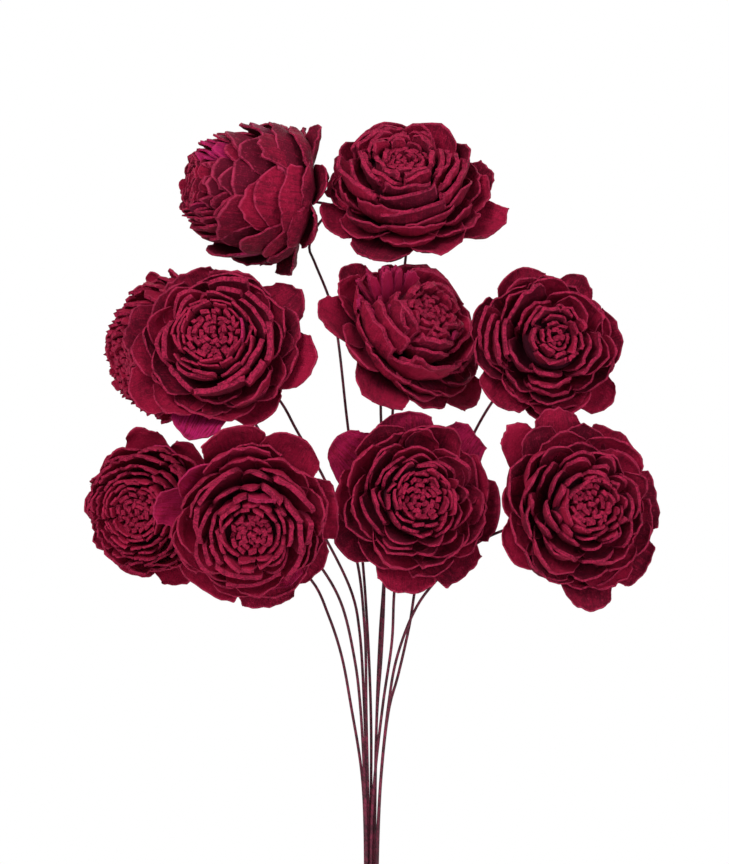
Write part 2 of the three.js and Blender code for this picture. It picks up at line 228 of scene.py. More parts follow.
# The colour of the pith: the share that each noise and a petal's own tone have in it and the sum
# it starts from, how bright the paler rims with their painted highlight and the flecks are, and how
# the painted shade deepens toward the feet
MOTTLE_SHARE = 0.9
FINE_SHARE = 1.1
PORE_SHARE = 0.8
STREAK_SHARE = 1.3
TONE_SHARE = 0.55
DYE_START = 1.87
PALE_RIM_AND_HIGHLIGHT_BRIGHTNESS = 0.6
FLECK_BRIGHTNESS = 0.45
SHADE_TOP = 0.75
SHADE_FOOT = 0.2
SHADE_DEPTH = 0.85

# Ways of cutting the pith: how round and how narrow the tips are, how ragged and ruffled the
# plates are, how upright they stand, how much they are turned out of the round, how loosely they
# are set, how flat they are, how much of its round they fill, and how many of them are cupped.
# Packs are groups of nested arcs that share a direction, and cup is how flat broad petals are.
CUTS = {
    "square": {"roundness": 0.03, "taper": 0.05, "ragged": 0.03, "ruffle": 0.3, "lean": 0.96, "yaw": 1.8,
               "loose": 1.0, "flat": 1.4, "fill": 0.96, "cupped": 0.35},
    "round": {"roundness": 0.17, "taper": 0.12, "ragged": 0.03, "ruffle": 0.4, "lean": 0.96, "yaw": 2.2,
              "loose": 1.6, "flat": 1.1, "fill": 1.0, "cupped": 0.6},
    "ragged": {"roundness": 0.05, "taper": 0.1, "ragged": 0.08, "ruffle": 0.4, "lean": 0.96, "yaw": 1.2,
               "loose": 0.8, "flat": 1.3, "fill": 1.02, "cupped": 0.1},
    "ruffled": {"roundness": 0.08, "taper": 0.1, "ragged": 0.08, "ruffle": 0.9, "lean": 0.93, "yaw": 2.4,
                "loose": 1.3, "flat": 0.85, "fill": 0.94, "cupped": 0.3, "packs": 5},
    "oval": {"roundness": 0.12, "taper": 0.04, "ragged": 0.035, "ruffle": 0.3, "lean": 0.98, "yaw": 1.4,
             "loose": 0.6, "flat": 1.0, "fill": 1.2, "cupped": 0.0, "cup": (0.78, 1.0)},
}

# Plates that are cut alike on every rose
CHIP = {"roundness": 0.02, "taper": 0.05, "ragged": 0.04, "ruffle": 0.05, "thinning": 0.06, "yaw": 0.8,
        "tint": 0.0}
STRIP = {**CUTS["ragged"], "thickness": 1.7, "thinning": 0.15}
BROAD = {"thickness": 1.5, "ragged": 0.045, "ruffle": 0.6, "thinning": 0.45, "yaw": 2.4}
OUTERMOST = {"thickness": 1.4, "ragged": 0.05, "ruffle": 0.6, "thinning": 0.5, "yaw": 1.4}

# Every rose: the back of its core, its turn to the right and tilt up in degrees, the height and
# the radius of its heart, how far out it has small chips, and its cut. Each round of slabs has its
# radius, how far its tips are below the heart's top, a half width and a thickness, and broad
# petals have the first three. Tip is the height of the outermost petals' tips. Each of these has
# its direction in degrees (0 is right, 90 is up), its reach and its width, and a share of magenta
# where the dye has one. Strips stand by themselves, each with its direction, the radius of its
# bend and of its tip, how far the tip is below the heart's top, its half width and how far its tip
# is moved sideways. strip_tone_and_painted_light is how light they are, raised as painted light
# where the strips stand in bright light, and strip_tint is how magenta they are. A sector without
# slabs is open, and a stain lies between two directions and two radii. The stem's slot is its row
# in the tie and its step along the row, and its wire runs through the stem's points.
# A rose's painted light makes its petals lighter than the others', and darker as painted shade where it is
# below zero.
ROSES = {
    "rose_01": {
        "dye": -0.3,
        "seat": (-29.5, 55, 325), "facing": (-70, 7), "top": 56, "heart": 14.5, "chips": 10.6,
        "cut": "oval",
        "rounds": [(12.0, 1.0, 3.0, 1.0), (13.8, 1.8, 3.2, 1.0), (15.6, 2.8, 3.6, 1.0),
                   (17.6, 4.2, 4.4, 1.1), (19.8, 6.0, 5.4, 1.2), (22.4, 8.6, 7.0, 1.3),
                   (25.2, 12.0, 8.5, 1.4)],
        "broad": [(28.2, 16.6, 11.0), (30.8, 23.0, 12.5), (32.2, 31.0, 13.5), (32.6, 40.5, 13.0)], "tip": 2,
        "stain": (36, 76, 12.5, 21),
        "outermost": [(11, 32, 17), (62, 36, 17), (110, 35, 17), (165, 34, 20), (220, 34, 20), (275, 35, 21),
                      (325, 33, 19)],
        "slot": (1, 0),
        "stem": [(0, 2, 60), (0, 4, 97), (-1.5, 8, 135), (-4, 17, 169), (-10.5, 36, 226), (-17, 52, 275),
                 (-25.5, 66, 298), (-28, 72, 305), (-25, 76, 314), (-18, 76, 323), (-12, 70, 331)]},
    "rose_02": {
        "dye": -0.15,
        "seat": (16, 46, 321), "facing": (-4, 42), "top": 32, "heart": 15, "chips": 7.6, "cut": "ruffled",
        "rounds": [(9.6, 0.8, 4.5, 1.9), (12.6, 0.0, 5.5, 2.1), (15.8, 0.2, 7.0, 2.2),
                   (19.4, 1.0, 8.5, 2.2), (23.2, 2.4, 9.5, 2.2), (27.0, 4.8, 10.5, 2.1)],
        "broad": [(31.0, 8.6, 11.5), (33.8, 14.5, 12.1)], "tip": 9,
        "outermost": [(15, 40, 24), (85, 38, 26), (168, 36, 20), (214, 42, 21), (254, 45, 28), (295, 44, 26),
                      (332, 48, 26)],
        "slot": (1, 1),
        "stem": [(1.8, 2, 60), (2.6, 4, 103), (4, 8, 135), (5.5, 15, 155), (9.5, 40, 226), (13, 56, 275)]},
    "rose_03": {
        "seat": (-62, -3, 254), "facing": (-9, 16), "top": 32, "heart": 16, "chips": 12.0, "cut": "square",
        "rounds": [(12.8, 0.6, 3.6, 1.2), (14.8, 1.4, 4.4, 1.2), (16.9, 2.6, 5.6, 1.3),
                   (20.2, 4.0, 7.6, 2.3), (24.8, 7.0, 9.6, 2.7)],
        "broad": [(29.0, 11.0, 12.5), (33.0, 15.0, 13.0)], "tip": 10,
        "outermost": [(38, 41, 25), (-12, 42, 25), (-56, 38, 26), (-105, 42, 24, 0.8), (-150, 44, 26),
                      (168, 43, 25), (118, 38, 26)],
        "slot": (0, 0),
        "stem": [(-1.2, 0, 60), (-2, 0, 99), (-2.8, 1, 137), (-7, 6, 169), (-20, 10, 200), (-32, 13, 221),
                 (-41, 17, 236)]},
    "rose_04": {
        "dye": 0.5,
        "seat": (-78, 56, 261), "facing": (-58, -14), "top": 41, "heart": 15, "chips": 13.6, "cut": "ragged",
        "rounds": [(15.2, 2.0, 2.8, 1.4), (18.4, 4.4, 3.0, 1.5), (21.8, 7.6, 3.2, 1.6),
                   (25.4, 11.6, 3.6, 1.7), (28.8, 16.6, 4.0, 1.8)],
        "broad": [(31.4, 21.5, 4.6), (33.4, 27.0, 5.2)], "tip": 8,
        "outermost": [(20, 34, 18), (75, 37, 13), (115, 38, 12), (160, 36, 16), (225, 36, 20), (280, 35, 20),
                      (330, 34, 18)],
        "slot": (1, -1),
        "stem": [(-1.8, 2, 60), (-2.8, 3, 99), (-5, 6, 135), (-8, 12, 150), (-21, 28, 176), (-48, 56, 218),
                 (-64, 72, 246)]},
    "rose_05": {
        "dye": 0.12,
        "seat": (10.5, 18, 258), "facing": (41, 30), "top": 32, "heart": 14, "chips": 9.0,
        "cut": "ruffled",
        "rounds": [(10.6, 0.4, 3.2, 1.8), (13.4, 0.6, 3.2, 2.1), (16.8, 1.6, 3.8, 2.2),
                   (20.6, 3.6, 5.0, 2.2), (24.6, 6.4, 7.6, 2.1), (28.6, 10.4, 9.4, 2.0)],
        "broad": [(32.4, 16.0, 11.5)], "tip": 8,
        "outermost": [(44, 39, 24), (-10, 39, 26), (-50, 42.5, 24), (-92, 37.5, 25), (-135, 45, 26),
                      (168, 48, 25), (120, 40.5, 24)],
        "open": (84, 174),
        "strips": [(88, 12, 22.0, 6.5, 4.4, 1.0), (92, 12, 23.0, 5.0, 3.0, 9.0),
                   (93, 12, 23.0, 4.5, 4.6, 17.0), (97, 13, 24.0, 7.0, 3.0, 24.5),
                   (92, 16, 26.5, 9.0, 3.6, 5.0), (94, 16, 27.0, 8.0, 3.6, 13.0),
                   (98, 16, 27.5, 9.5, 3.4, 20.5), (104, 17, 28.0, 12.0, 2.8, 25.0),
                   (160, 20, 33.0, 14.0, 3.4, 0.0), (167, 17, 27.0, 12.0, 3.2, 0.0),
                   (150, 15, 22.0, 12.0, 3.0, 0.0), (166, 13, 19.0, 9.0, 3.4, 0.0)],
        # The strips' tone is raised as painted light, where they stand in bright light
        "strip_tone_and_painted_light": 2.1,
        "strip_tint": 0.28,
        "slot": (0, 1),
        "stem": [(1.6, 0, 60), (2.6, 0.6, 100), (4.4, 3, 123), (5.6, 7, 148), (6, 19, 191), (4.5, 33, 226),
                 (4, 40, 242)]},
    "rose_06": {
        "dye": -0.12,
        "seat": (73, 3, 255), "facing": (10, 12), "top": 32, "heart": 13, "chips": 4.6, "cut": "ruffled",
        "rounds": [(5.6, 1.4, 3.2, 1.5), (8.4, 1.4, 4.2, 1.6), (11.4, 0.8, 5.4, 1.6),
                   (14.8, 1.4, 6.8, 1.7), (18.4, 3.0, 8.2, 1.8), (22.4, 5.8, 9.4, 1.8)],
        "broad": [(26.6, 10.0, 10.8), (30.0, 15.5, 11.5)], "tip": 10,
        "strips": [(178, 22.0, 22.5, 2.0, 9.0, 0.0), (186, 25.0, 25.5, 4.5, 10.0, 0.0),
                   (178, 28.0, 28.5, 8.0, 11.0, 0.0), (166, 31.0, 31.0, 12.0, 10.0, 0.0)],
        "strip_tone_and_painted_light": 0.5,
        "strip_tint": 0.0,
        "open": (150, 206),
        "outermost": [(106, 36, 24), (60, 36, 22), (8, 34, 24), (-44, 37, 20), (-90, 33, 23), (-135, 34, 23),
                      (156, 34, 22)],
        "slot": (0, 2),
        "stem": [(4.2, 0.6, 70), (8, 1, 103), (11.4, 2, 115), (16.5, 4, 137), (20.5, 8, 159), (33, 15, 192),
                 (47, 20, 224), (57, 21, 239)]},
    "rose_07": {
        "dye": 0.5,
        "seat": (-90, 11, 190.5), "facing": (-20, -8), "top": 32, "heart": 15, "chips": 9.2, "cut": "ragged",
        "rounds": [(10.4, 0.2, 2.8, 1.1), (12.6, 0.4, 3.2, 1.1), (14.9, 0.9, 3.8, 1.1),
                   (17.3, 1.8, 4.2, 1.2), (19.9, 3.4, 4.8, 1.2), (22.7, 5.8, 5.4, 1.3),
                   (25.6, 9.2, 6.2, 1.3)],
        "broad": [(28.5, 14.5, 8.0)], "tip": 9,
        "outermost": [(98, 34, 22), (45, 32, 22), (-10, 31, 22), (-68, 36, 25), (-118, 33.5, 24),
                      (-170, 28, 24), (140, 30, 20)],
        "slot": (0, -1),
        "stem": [(-3.6, 0, 70), (-8.6, 0.4, 103), (-12.8, 1, 125), (-18.2, 2, 141.5), (-25.5, 5, 156.5),
                 (-50, 13, 176), (-74, 20, 186)]},
    "rose_08": {
        "dye": 0.25,
        "seat": (-50, -30, 188), "facing": (2, -19), "top": 32, "heart": 15, "chips": 9.4, "cut": "square",
        "rounds": [(11.4, 0.2, 3.4, 1.5), (13.8, 0.4, 4.2, 1.6), (16.6, 1.2, 5.6, 1.9),
                   (20.0, 3.0, 7.2, 2.3), (24.2, 6.2, 9.0, 2.6)],
        "broad": [(28.6, 10.2, 11.5), (32.6, 15.0, 12.5)], "tip": 9,
        "outermost": [(103, 41, 26), (60, 41, 25), (8, 36, 26), (-40, 37, 25), (-80, 41, 25), (-125, 38, 26),
                      (172, 41, 18, 0.3)],
        "slot": (-1, -1),
        "stem": [(-2.4, -2, 60), (-4.6, -2.2, 103), (-7, -3, 123), (-13, -5, 148), (-22, -9, 164),
                 (-36, -14, 180)]},
    "rose_09": {
        "seat": (16, -12, 191), "facing": (9, 5), "top": 32, "heart": 15, "chips": 8.4, "cut": "round",
        "rounds": [(9.6, 0.4, 3.0, 1.3), (11.6, 0.3, 3.6, 1.3), (13.8, 0.8, 4.4, 1.4),
                   (16.2, 1.8, 5.6, 1.5), (19.2, 3.4, 7.4, 1.6), (23.2, 6.4, 9.6, 1.6)],
        "broad": [(27.4, 9.6, 12.0), (31.4, 13.0, 13.0)], "tip": 9,
        "outermost": [(142, 42, 26, 0.35), (97, 38, 25, 0.15), (46, 40, 24, 0.25), (-8, 38, 26),
                      (-54, 39, 24), (-96, 39, 25), (-150, 37, 26)],
        "slot": (-1, 0),
        "stem": [(0.6, -2, 60), (5, -1.6, 103), (9, -1, 131), (10.2, 1, 154), (14, 4, 176)]},
    "rose_10": {
        "seat": (83, -20, 186.5), "facing": (16, 8), "top": 32, "heart": 14, "chips": 9.0, "cut": "round",
        "rounds": [(10.6, 0.4, 3.2, 1.5), (12.8, 0.8, 4.0, 1.5), (15.4, 1.6, 5.0, 1.8),
                   (18.6, 3.2, 6.4, 2.0), (22.4, 6.0, 8.0, 2.0)],
        "broad": [(26.4, 9.6, 11.0), (30.4, 13.0, 12.5), (34.0, 16.5, 13.0)], "tip": 8,
        "outermost": [(128, 45, 20), (100, 44, 22), (55, 40, 25), (8, 38, 27), (-42, 40, 27), (-82, 43, 22),
                      (-150, 35, 26)],
        "slot": (-1, 1),
        "stem": [(4, -2, 70), (7.4, -2.4, 103), (10.8, -3.4, 123), (18, -5, 143), (25, -7, 154),
                 (46, -11, 174), (66, -12, 182)]},
}


# Node trees

class Term:
    """A socket of a node tree. Reckoning with it adds the Math nodes."""

    def __init__(self, net, socket):
        self.net = net
        self.socket = socket

    def out(self, name):
        return Term(self.net, self.socket.node.outputs[name])

    def __add__(self, other):
        return self.net.maths("ADD", self, other)

    def __radd__(self, other):
        return self.net.maths("ADD", other, self)

    def __sub__(self, other):
        return self.net.maths("SUBTRACT", self, other)

    def __rsub__(self, other):
        return self.net.maths("SUBTRACT", other, self)

    def __mul__(self, other):
        return self.net.maths("MULTIPLY", self, other)

    def __rmul__(self, other):
        return self.net.maths("MULTIPLY", other, self)

    def __truediv__(self, other):
        return self.net.maths("DIVIDE", self, other)


class Net:
    """A node tree that is written as expressions."""

    def __init__(self, tree):
        self.tree = tree

    def node(self, kind, settings=None, inputs=None):
        made = self.tree.nodes.new(kind)
        for name, value in (settings or {}).items():
            setattr(made, name, value)
        for name, value in (inputs or {}).items():
            if isinstance(value, Term):
                self.tree.links.new(value.socket, made.inputs[name])
            else:
                made.inputs[name].default_value = value
        return Term(self, made.outputs[0]) if made.outputs else made

    def maths(self, operation, *terms):
        return self.node("ShaderNodeMath", {"operation": operation}, dict(enumerate(terms)))

    def smooth(self, value, low, high):
        return self.node(
            "ShaderNodeMapRange", {"interpolation_type": "SMOOTHSTEP"},
            {"Value": value, "From Min": low, "From Max": high})

    def mix(self, share, first, second, blend="MIX"):
        made = self.node("ShaderNodeMix", {"data_type": "RGBA", "blend_type": blend}, {0: share})
        for place, value in ((6, first), (7, second)):
            if isinstance(value, Term):
                self.tree.links.new(value.socket, made.socket.node.inputs[place])
            else:
                made.socket.node.inputs[place].default_value = (*value, 1)
        return Term(self, made.socket.node.outputs[2])

    def noise(self, place, scale, detail=3.0, rough=0.6):
        return self.node("ShaderNodeTexNoise", None,
                         {"Vector": place, "Scale": scale, "Detail": detail, "Roughness": rough})


def geometry_tree(name, numbers):
    """A Geometry Nodes group with a geometry in and out, a material and named numbers."""
    tree = bpy.data.node_groups.new(name, "GeometryNodeTree")
    tree.interface.new_socket(name="Geometry", in_out="INPUT", socket_type="NodeSocketGeometry")
    for label, kind in numbers.items():
        tree.interface.new_socket(name=label, in_out="INPUT", socket_type=kind)
    tree.interface.new_socket(name="Material", in_out="INPUT", socket_type="NodeSocketMaterial")
    tree.interface.new_socket(name="Geometry", in_out="OUTPUT", socket_type="NodeSocketGeometry")
    net = Net(tree)
    return net, net.node("NodeGroupInput")


def store(net, geometry, name, value, domain="POINT", kind="FLOAT"):
    return net.node("GeometryNodeStoreNamedAttribute", {"data_type": kind, "domain": domain},
                    {"Geometry": geometry, "Name": name, "Value": value})


def finish_tree(net, geometry, given):
    realized = net.node("GeometryNodeRealizeInstances", None, {"Geometry": geometry})
    dyed = net.node("GeometryNodeSetMaterial", None, {
        "Geometry": realized, "Material": given.out("Material")})
    net.node("NodeGroupOutput", None, {"Geometry": dyed})
    return net.tree


PETAL_FACTS = (
    "azimuth", "foot_r", "foot_z", "elbow_r", "elbow_z", "tip_r", "tip_z", "half_width", "foot_width",
    "thickness", "curve", "roundness", "taper", "ragged", "ruffle", "sway", "yaw", "thinning", "tone", "tint")


def petal_tree():
    """Grows a bent plate of pith from every point, by the facts that are stored on it."""
    net, given = geometry_tree("pith_petals", {"Across": "NodeSocketInt", "Along": "NodeSocketInt"})
    plate = net.node("GeometryNodeMeshCube", None, {
        "Size": (2, 1, 2), "Vertices X": given.out("Across"), "Vertices Y": given.out("Along"),
        "Vertices Z": 2})

    # The plate's narrow sides are its cut ends, and its corners stay sharp
    facing = net.node("ShaderNodeSeparateXYZ", None, {0: net.node("GeometryNodeInputNormal")})
    cut = net.smooth(net.maths("ABSOLUTE", facing.out("Z")), 0.6, 0.4)
    plate = store(net, plate, "cut", cut, "FACE")
    corner = net.maths("GREATER_THAN", net.node("GeometryNodeInputMeshEdgeAngle"), 0.5)
    plate = store(net, plate, "sharp_edge", corner, "EDGE", "BOOLEAN")
    plates = net.node("GeometryNodeInstanceOnPoints", None, {
        "Points": given.out("Geometry"), "Instance": plate})
    plates = net.node("GeometryNodeRealizeInstances", None, {"Geometry": plates})

    fact = {name: net.node("GeometryNodeInputNamedAttribute", {"data_type": "FLOAT"}, {"Name": name})
            for name in PETAL_FACTS}
    place = net.node("ShaderNodeSeparateXYZ", None, {0: net.node("GeometryNodeInputPosition")})
    quarter = math.pi / 2
    across = net.maths("SINE", place.out("X") * quarter)
    along = net.maths("SINE", (place.out("Y") + 0.5) * quarter)
    face = place.out("Z")
    spread = net.maths("ABSOLUTE", across)
    rim = net.maths("MAXIMUM", spread, 1 - (1 - along) * RIM_FADE)

    # The tip is rounded and ragged. A petal's direction and height give it its own piece of noise.
    seed = net.node("ShaderNodeCombineXYZ", None, {
        "X": across * 2.2 + fact["azimuth"] * 7.3, "Y": fact["tip_z"] * 3.1, "Z": fact["azimuth"] * 1.7})
    tear = net.noise(seed, 1.3, 4.0, 0.75) - 0.5
    rounded = along * (1 - fact["roundness"] * spread * spread * along)
    at = rounded + fact["ragged"] * tear * along * along * TEAR_DEPTH

    # The curve from foot to tip
    start = (1 - at) * (1 - at)
    middle = 2 * at * (1 - at)
    end = at * at
    radius = fact["foot_r"] * start + fact["elbow_r"] * middle + fact["tip_r"] * end
    height = fact["foot_z"] * start + fact["elbow_z"] * middle + fact["tip_z"] * end
    rise_r = (fact["elbow_r"] - fact["foot_r"]) * (1 - at) + (fact["tip_r"] - fact["elbow_r"]) * at
    rise_z = (fact["elbow_z"] - fact["foot_z"]) * (1 - at) + (fact["tip_z"] - fact["elbow_z"]) * at
    slope = net.maths("SQRT", rise_r * rise_r + rise_z * rise_z + LEAST_SLOPE)

    # The plate across it
    opened = net.smooth(along, 0.0, FULL_WIDTH_AT)
    narrowed = 1 - fact["taper"] * net.smooth(along, TAPER_FROM, 1.0)
    flank = net.node("ShaderNodeCombineXYZ", None, {
        "X": along * 2.4, "Y": net.maths("SIGN", across) * 4.1, "Z": fact["azimuth"] * 5.9 + fact["tip_z"]})
    raggedness = fact["ragged"] * FLANK_RAGGEDNESS + FLANK_UNEVENNESS
    uneven = 1 + (net.noise(flank, 1.2, 3.0, 0.7) - 0.5) * raggedness * along
    width = (fact["foot_width"] + (fact["half_width"] - fact["foot_width"]) * opened) * narrowed * uneven
    side = across * width + fact["sway"] * at
    turned = side * fact["curve"]
    bowed = net.maths("SINE", turned) / fact["curve"]
    dish = (1 - net.maths("COSINE", turned)) / fact["curve"]
    skin = net.node("ShaderNodeCombineXYZ", None, {
        "X": across * width + fact["azimuth"] * 29, "Y": at * 26 + fact["tip_r"], "Z": fact["tip_z"] * 5})
    wave = net.noise(skin, 0.16, 2.0, 0.5) - 0.5
    rough = net.noise(skin, 0.9, 3.0, 0.7) - 0.5
    edge = 1 - fact["thinning"] * net.smooth(rim, 0.45, 1.0)
    offset = (face * fact["thickness"] * edge * 0.5 - dish + wave * fact["ruffle"] * WAVE_HEIGHT * at
              + rough * ROUGHNESS_HEIGHT * at + fact["yaw"] * across * at * at)
    out = radius + rise_z / slope * offset
    up = height - rise_r / slope * offset
    turn = fact["azimuth"]
    bent = net.node("ShaderNodeCombineXYZ", None, {
        "X": (out * net.maths("COSINE", turn) - bowed * net.maths("SINE", turn)) * MM,
        "Y": (out * net.maths("SINE", turn) + bowed * net.maths("COSINE", turn)) * MM,
        "Z": up * MM})
    plates = store(net, plates, "rim", rim)
    plates = store(net, plates, "along", along)
    plates = store(net, plates, "across", across)
    shaped = net.node("GeometryNodeSetPosition", None, {"Geometry": plates, "Position": bent})
    smooth = net.node("GeometryNodeSetShadeSmooth", None, {0: shaped})
    return finish_tree(net, smooth, given)


def wire_tree():
    """Sweeps a round section along a line of points."""
    net, given = geometry_tree("wrapped_wire", {"Radius": "NodeSocketFloat", "Sides": "NodeSocketInt"})
    line = net.node("GeometryNodeMeshToCurve", None, {"Mesh": given.out("Geometry")})
    line = store(net, line, "run", net.node("GeometryNodeSplineParameter").out("Length"))
    ring = net.node("GeometryNodeCurvePrimitiveCircle", None, {
        "Resolution": given.out("Sides"), "Radius": given.out("Radius")})
    ring = store(net, ring, "round", net.node("GeometryNodeSplineParameter").out("Factor"))
    wire = net.node("GeometryNodeCurveToMesh", None, {
        "Curve": line, "Profile Curve": ring, "Fill Caps": True})
    smooth = net.node("GeometryNodeSetShadeSmooth", None, {0: wire})
    return finish_tree(net, smooth, given)


def placed(name, data):
    """A new object of the scene, at the origin."""
    made = bpy.data.objects.new(name, data)
    bpy.context.scene.collection.objects.link(made)
    return made


def grown(tree, source, inputs):
    """The plain mesh that a tree makes from a source mesh."""
    holder = placed("holder", source)
    modifier = holder.modifiers.new("grow", "NODES")
    modifier.node_group = tree
    for socket in tree.interface.items_tree:
        if socket.in_out == "INPUT" and socket.name in inputs:
            modifier[socket.identifier] = inputs[socket.name]
    holder.update_tag()
    depsgraph = bpy.context.evaluated_depsgraph_get()
    mesh = bpy.data.meshes.new_from_object(holder.evaluated_get(depsgraph))
    bpy.data.objects.remove(holder)
    return mesh


PETAL_TREE = petal_tree()
WIRE_TREE = wire_tree()


# Finishes

def material(name):
    made = bpy.data.materials.new(name)
    made.use_nodes = True
    made.node_tree.nodes.clear()
    return made, Net(made.node_tree)


def surface(net, base, rough, bump, settings):
    shader = net.node("ShaderNodeBsdfPrincipled", None, {
        "Base Color": base, "Roughness": rough, "Normal": bump})
    for name, value in settings.items():
        shader.socket.node.inputs[name].default_value = value
    net.node("ShaderNodeOutputMaterial", None, {"Surface": shader})


def attribute(net, name):
    return net.node("ShaderNodeAttribute", {"attribute_name": name}).out("Fac")


def pith(name, deep, face, bright, cut_face, grain):
    """Dyed pith: mottled and streaked faces, paler rims with a painted highlight, painted shade toward the
    feet, and cut ends that show open pores.
    """
    made, net = material(name)
    place = net.node("ShaderNodeTexCoord").out("Object")
    along = attribute(net, "along")
    rim = attribute(net, "rim")
    tone = attribute(net, "tone")
    cut = attribute(net, "cut")
    mottle = net.noise(place, 70.0, 3.0, 0.6)
    fine = net.noise(place, 420.0, 4.0, 0.75)
    pores = net.noise(place, 1500.0, 3.0, 0.8)
    streak_place = net.node("ShaderNodeCombineXYZ", None, {
        "X": attribute(net, "across") * 9, "Y": along * 1.2, "Z": tone * 40})
    streaks = net.noise(streak_place, 2.6, 4.0, 0.65)
    share = (mottle * MOTTLE_SHARE + fine * FINE_SHARE + pores * PORE_SHARE + streaks * STREAK_SHARE
             + tone * TONE_SHARE - DYE_START)
    base = net.mix(net.smooth(share, 0.0, 0.85), deep, face)
    # The rims are paler, partly from their rough cut pith and partly as a painted highlight where light
    # catches the edges
    pale_rim_and_highlight = net.smooth(rim, 0.94, 0.985) * net.smooth(fine + pores * 0.6 + mottle * 0.8, 0.9, 1.3)
    upper = net.smooth(along, 0.5, 0.8)
    grit = pores + fine * 0.5
    fleck = net.smooth(grit, 0.85, 0.95) * upper
    base = net.mix(net.maths("MAXIMUM", pale_rim_and_highlight * PALE_RIM_AND_HIGHLIGHT_BRIGHTNESS, fleck * FLECK_BRIGHTNESS), base, bright)
    ends = net.mix(net.smooth(grit, 0.62, 0.9), deep, cut_face)
    base = net.mix(cut * upper * grain, base, ends)
    magenta = attribute(net, "tint") * net.smooth(mottle * 0.4 + streaks, 0.55, 0.8)
    base = net.mix(magenta, base, MAGENTA)
    base = net.mix(net.smooth(along, SHADE_TOP, SHADE_FOOT) * SHADE_DEPTH, base, SHADE)
    height = fine * 0.55 + pores * 0.3 + streaks * 0.25
    bump = net.node("ShaderNodeBump", None, {"Strength": 0.9, "Distance": 0.0007, "Height": height})
    rough = 0.75 + fine * 0.2
    surface(net, base, rough, bump, {"Specular IOR Level": 0.08, "Sheen Weight": 0.04, "Sheen Roughness": 0.4,
                                     "Sheen Tint": (1.0, 0.12, 0.25, 1)})
    return made


def wire_wrap():
    """Wire wrapped in a thin strip of dyed paper, whose edge runs round it as a helix."""
    made, net = material("wire_wrap")
    place = net.node("ShaderNodeTexCoord").out("Object")
    run = attribute(net, "run") * (1 / MM)
    lap = net.maths("FRACT", run / WRAP_PITCH + attribute(net, "round"))
    seam = net.smooth(lap, 0.0, 0.12) * net.smooth(lap, 1.0, 0.9)
    stain = net.noise(place, 260.0, 4.0, 0.65)
    fibre = net.noise(place, 1900.0, 2.0, 0.7)
    base = net.mix(net.smooth(stain, 0.3, 0.75), PAPER_DARK, PAPER_LIGHT)
    base = net.mix((1 - seam) * 0.7, base, PAPER_SEAM)
    bump = net.node("ShaderNodeBump", None, {
        "Strength": 0.6, "Distance": 0.0002, "Height": seam * 0.7 + fibre * 0.3})
    surface(net, base, 0.5 + stain * 0.25, bump, {"Specular IOR Level": 0.2})
    return made


def tie_tape():
    """Crepe tape in the colour of the roses, wrinkled across its length."""
    made, net = material("tie_tape")
    place = net.node("ShaderNodeTexCoord").out("Object")
    lap = attribute(net, "lap")
    squeezed = net.node("ShaderNodeVectorMath", {"operation": "MULTIPLY"}, {0: place, 1: (1, 1, 0.12)})
    crepe = net.noise(squeezed, 1700.0, 3.0, 0.6)
    stain = net.noise(place, 300.0, 3.0, 0.6)
    weave = net.smooth(crepe * 0.6 + stain * 0.4, 0.3, 0.7)
    base = net.mix(weave, TAPE_DARK, TAPE_LIGHT)
    base = net.mix(net.smooth(lap, 0.14, 0.0) * 0.7, base, TAPE_SEAM)
    bump = net.node("ShaderNodeBump", None, {"Strength": 0.6, "Distance": 0.0003, "Height": crepe})
    surface(net, base, 0.75 + stain * 0.15, bump, {"Specular IOR Level": 0.25})
    return made


# The deep and the common colour of the pith, its paler rims with their painted highlight, its cut ends, and
# how far these show
FINISHES = {
    "heart": pith("pith_heart", (0.060, 0.0012, 0.009), (0.20, 0.003, 0.022), (0.37, 0.027, 0.078),
                  (0.26, 0.006, 0.034), 0.8),
    "inner_petals": pith("pith_slabs", (0.064, 0.0013, 0.010), (0.208, 0.003, 0.023), (0.38, 0.030, 0.083),
                         (0.26, 0.0075, 0.038), 0.9),
    "outer_petals": pith("pith_petals", (0.060, 0.0012, 0.009), (0.20, 0.0029, 0.0225), (0.36, 0.027, 0.078),
                         (0.24, 0.0065, 0.034), 0.7),
}


# Layout of a head

def either_way(rng, most):
    return rng.uniform(-most, most)


def petal_facts(rng, azimuth, foot, elbow, tip, half_width, curve, cut):
    """One petal's facts. Foot, elbow and tip are (radius, height), and curve is a radius."""
    return {
        "azimuth": math.radians(azimuth), "foot_r": foot[0], "foot_z": foot[1],
        "elbow_r": elbow[0], "elbow_z": elbow[1], "tip_r": tip[0], "tip_z": tip[1],
        "half_width": half_width, "foot_width": cut.get("foot_width", min(half_width, FOOT_HALF_WIDTH)),
        "thickness": cut["thickness"], "curve": 1 / curve, "roundness": cut["roundness"],
        "taper": cut["taper"], "ragged": cut["ragged"], "ruffle": cut["ruffle"],
        "sway": either_way(rng, 1), "yaw": either_way(rng, cut["yaw"]), "thinning": cut["thinning"],
        "tone": cut.get("tone", rng.random()),
        "tint": cut.get("tint", max(0.0, rng.uniform(*PETAL_TINT))),
    }


def uneven_shares(rng, count, spread):
    """A full turn cut into uneven shares, as pairs of middle and share."""
    weights = [rng.uniform(1 - spread, 1 + spread) for _ in range(count)]
    start = rng.random()
    shares = []
    for weight in weights:
        share = weight / sum(weights)
        shares.append((start + share / 2, share))
        start += share
    return shares


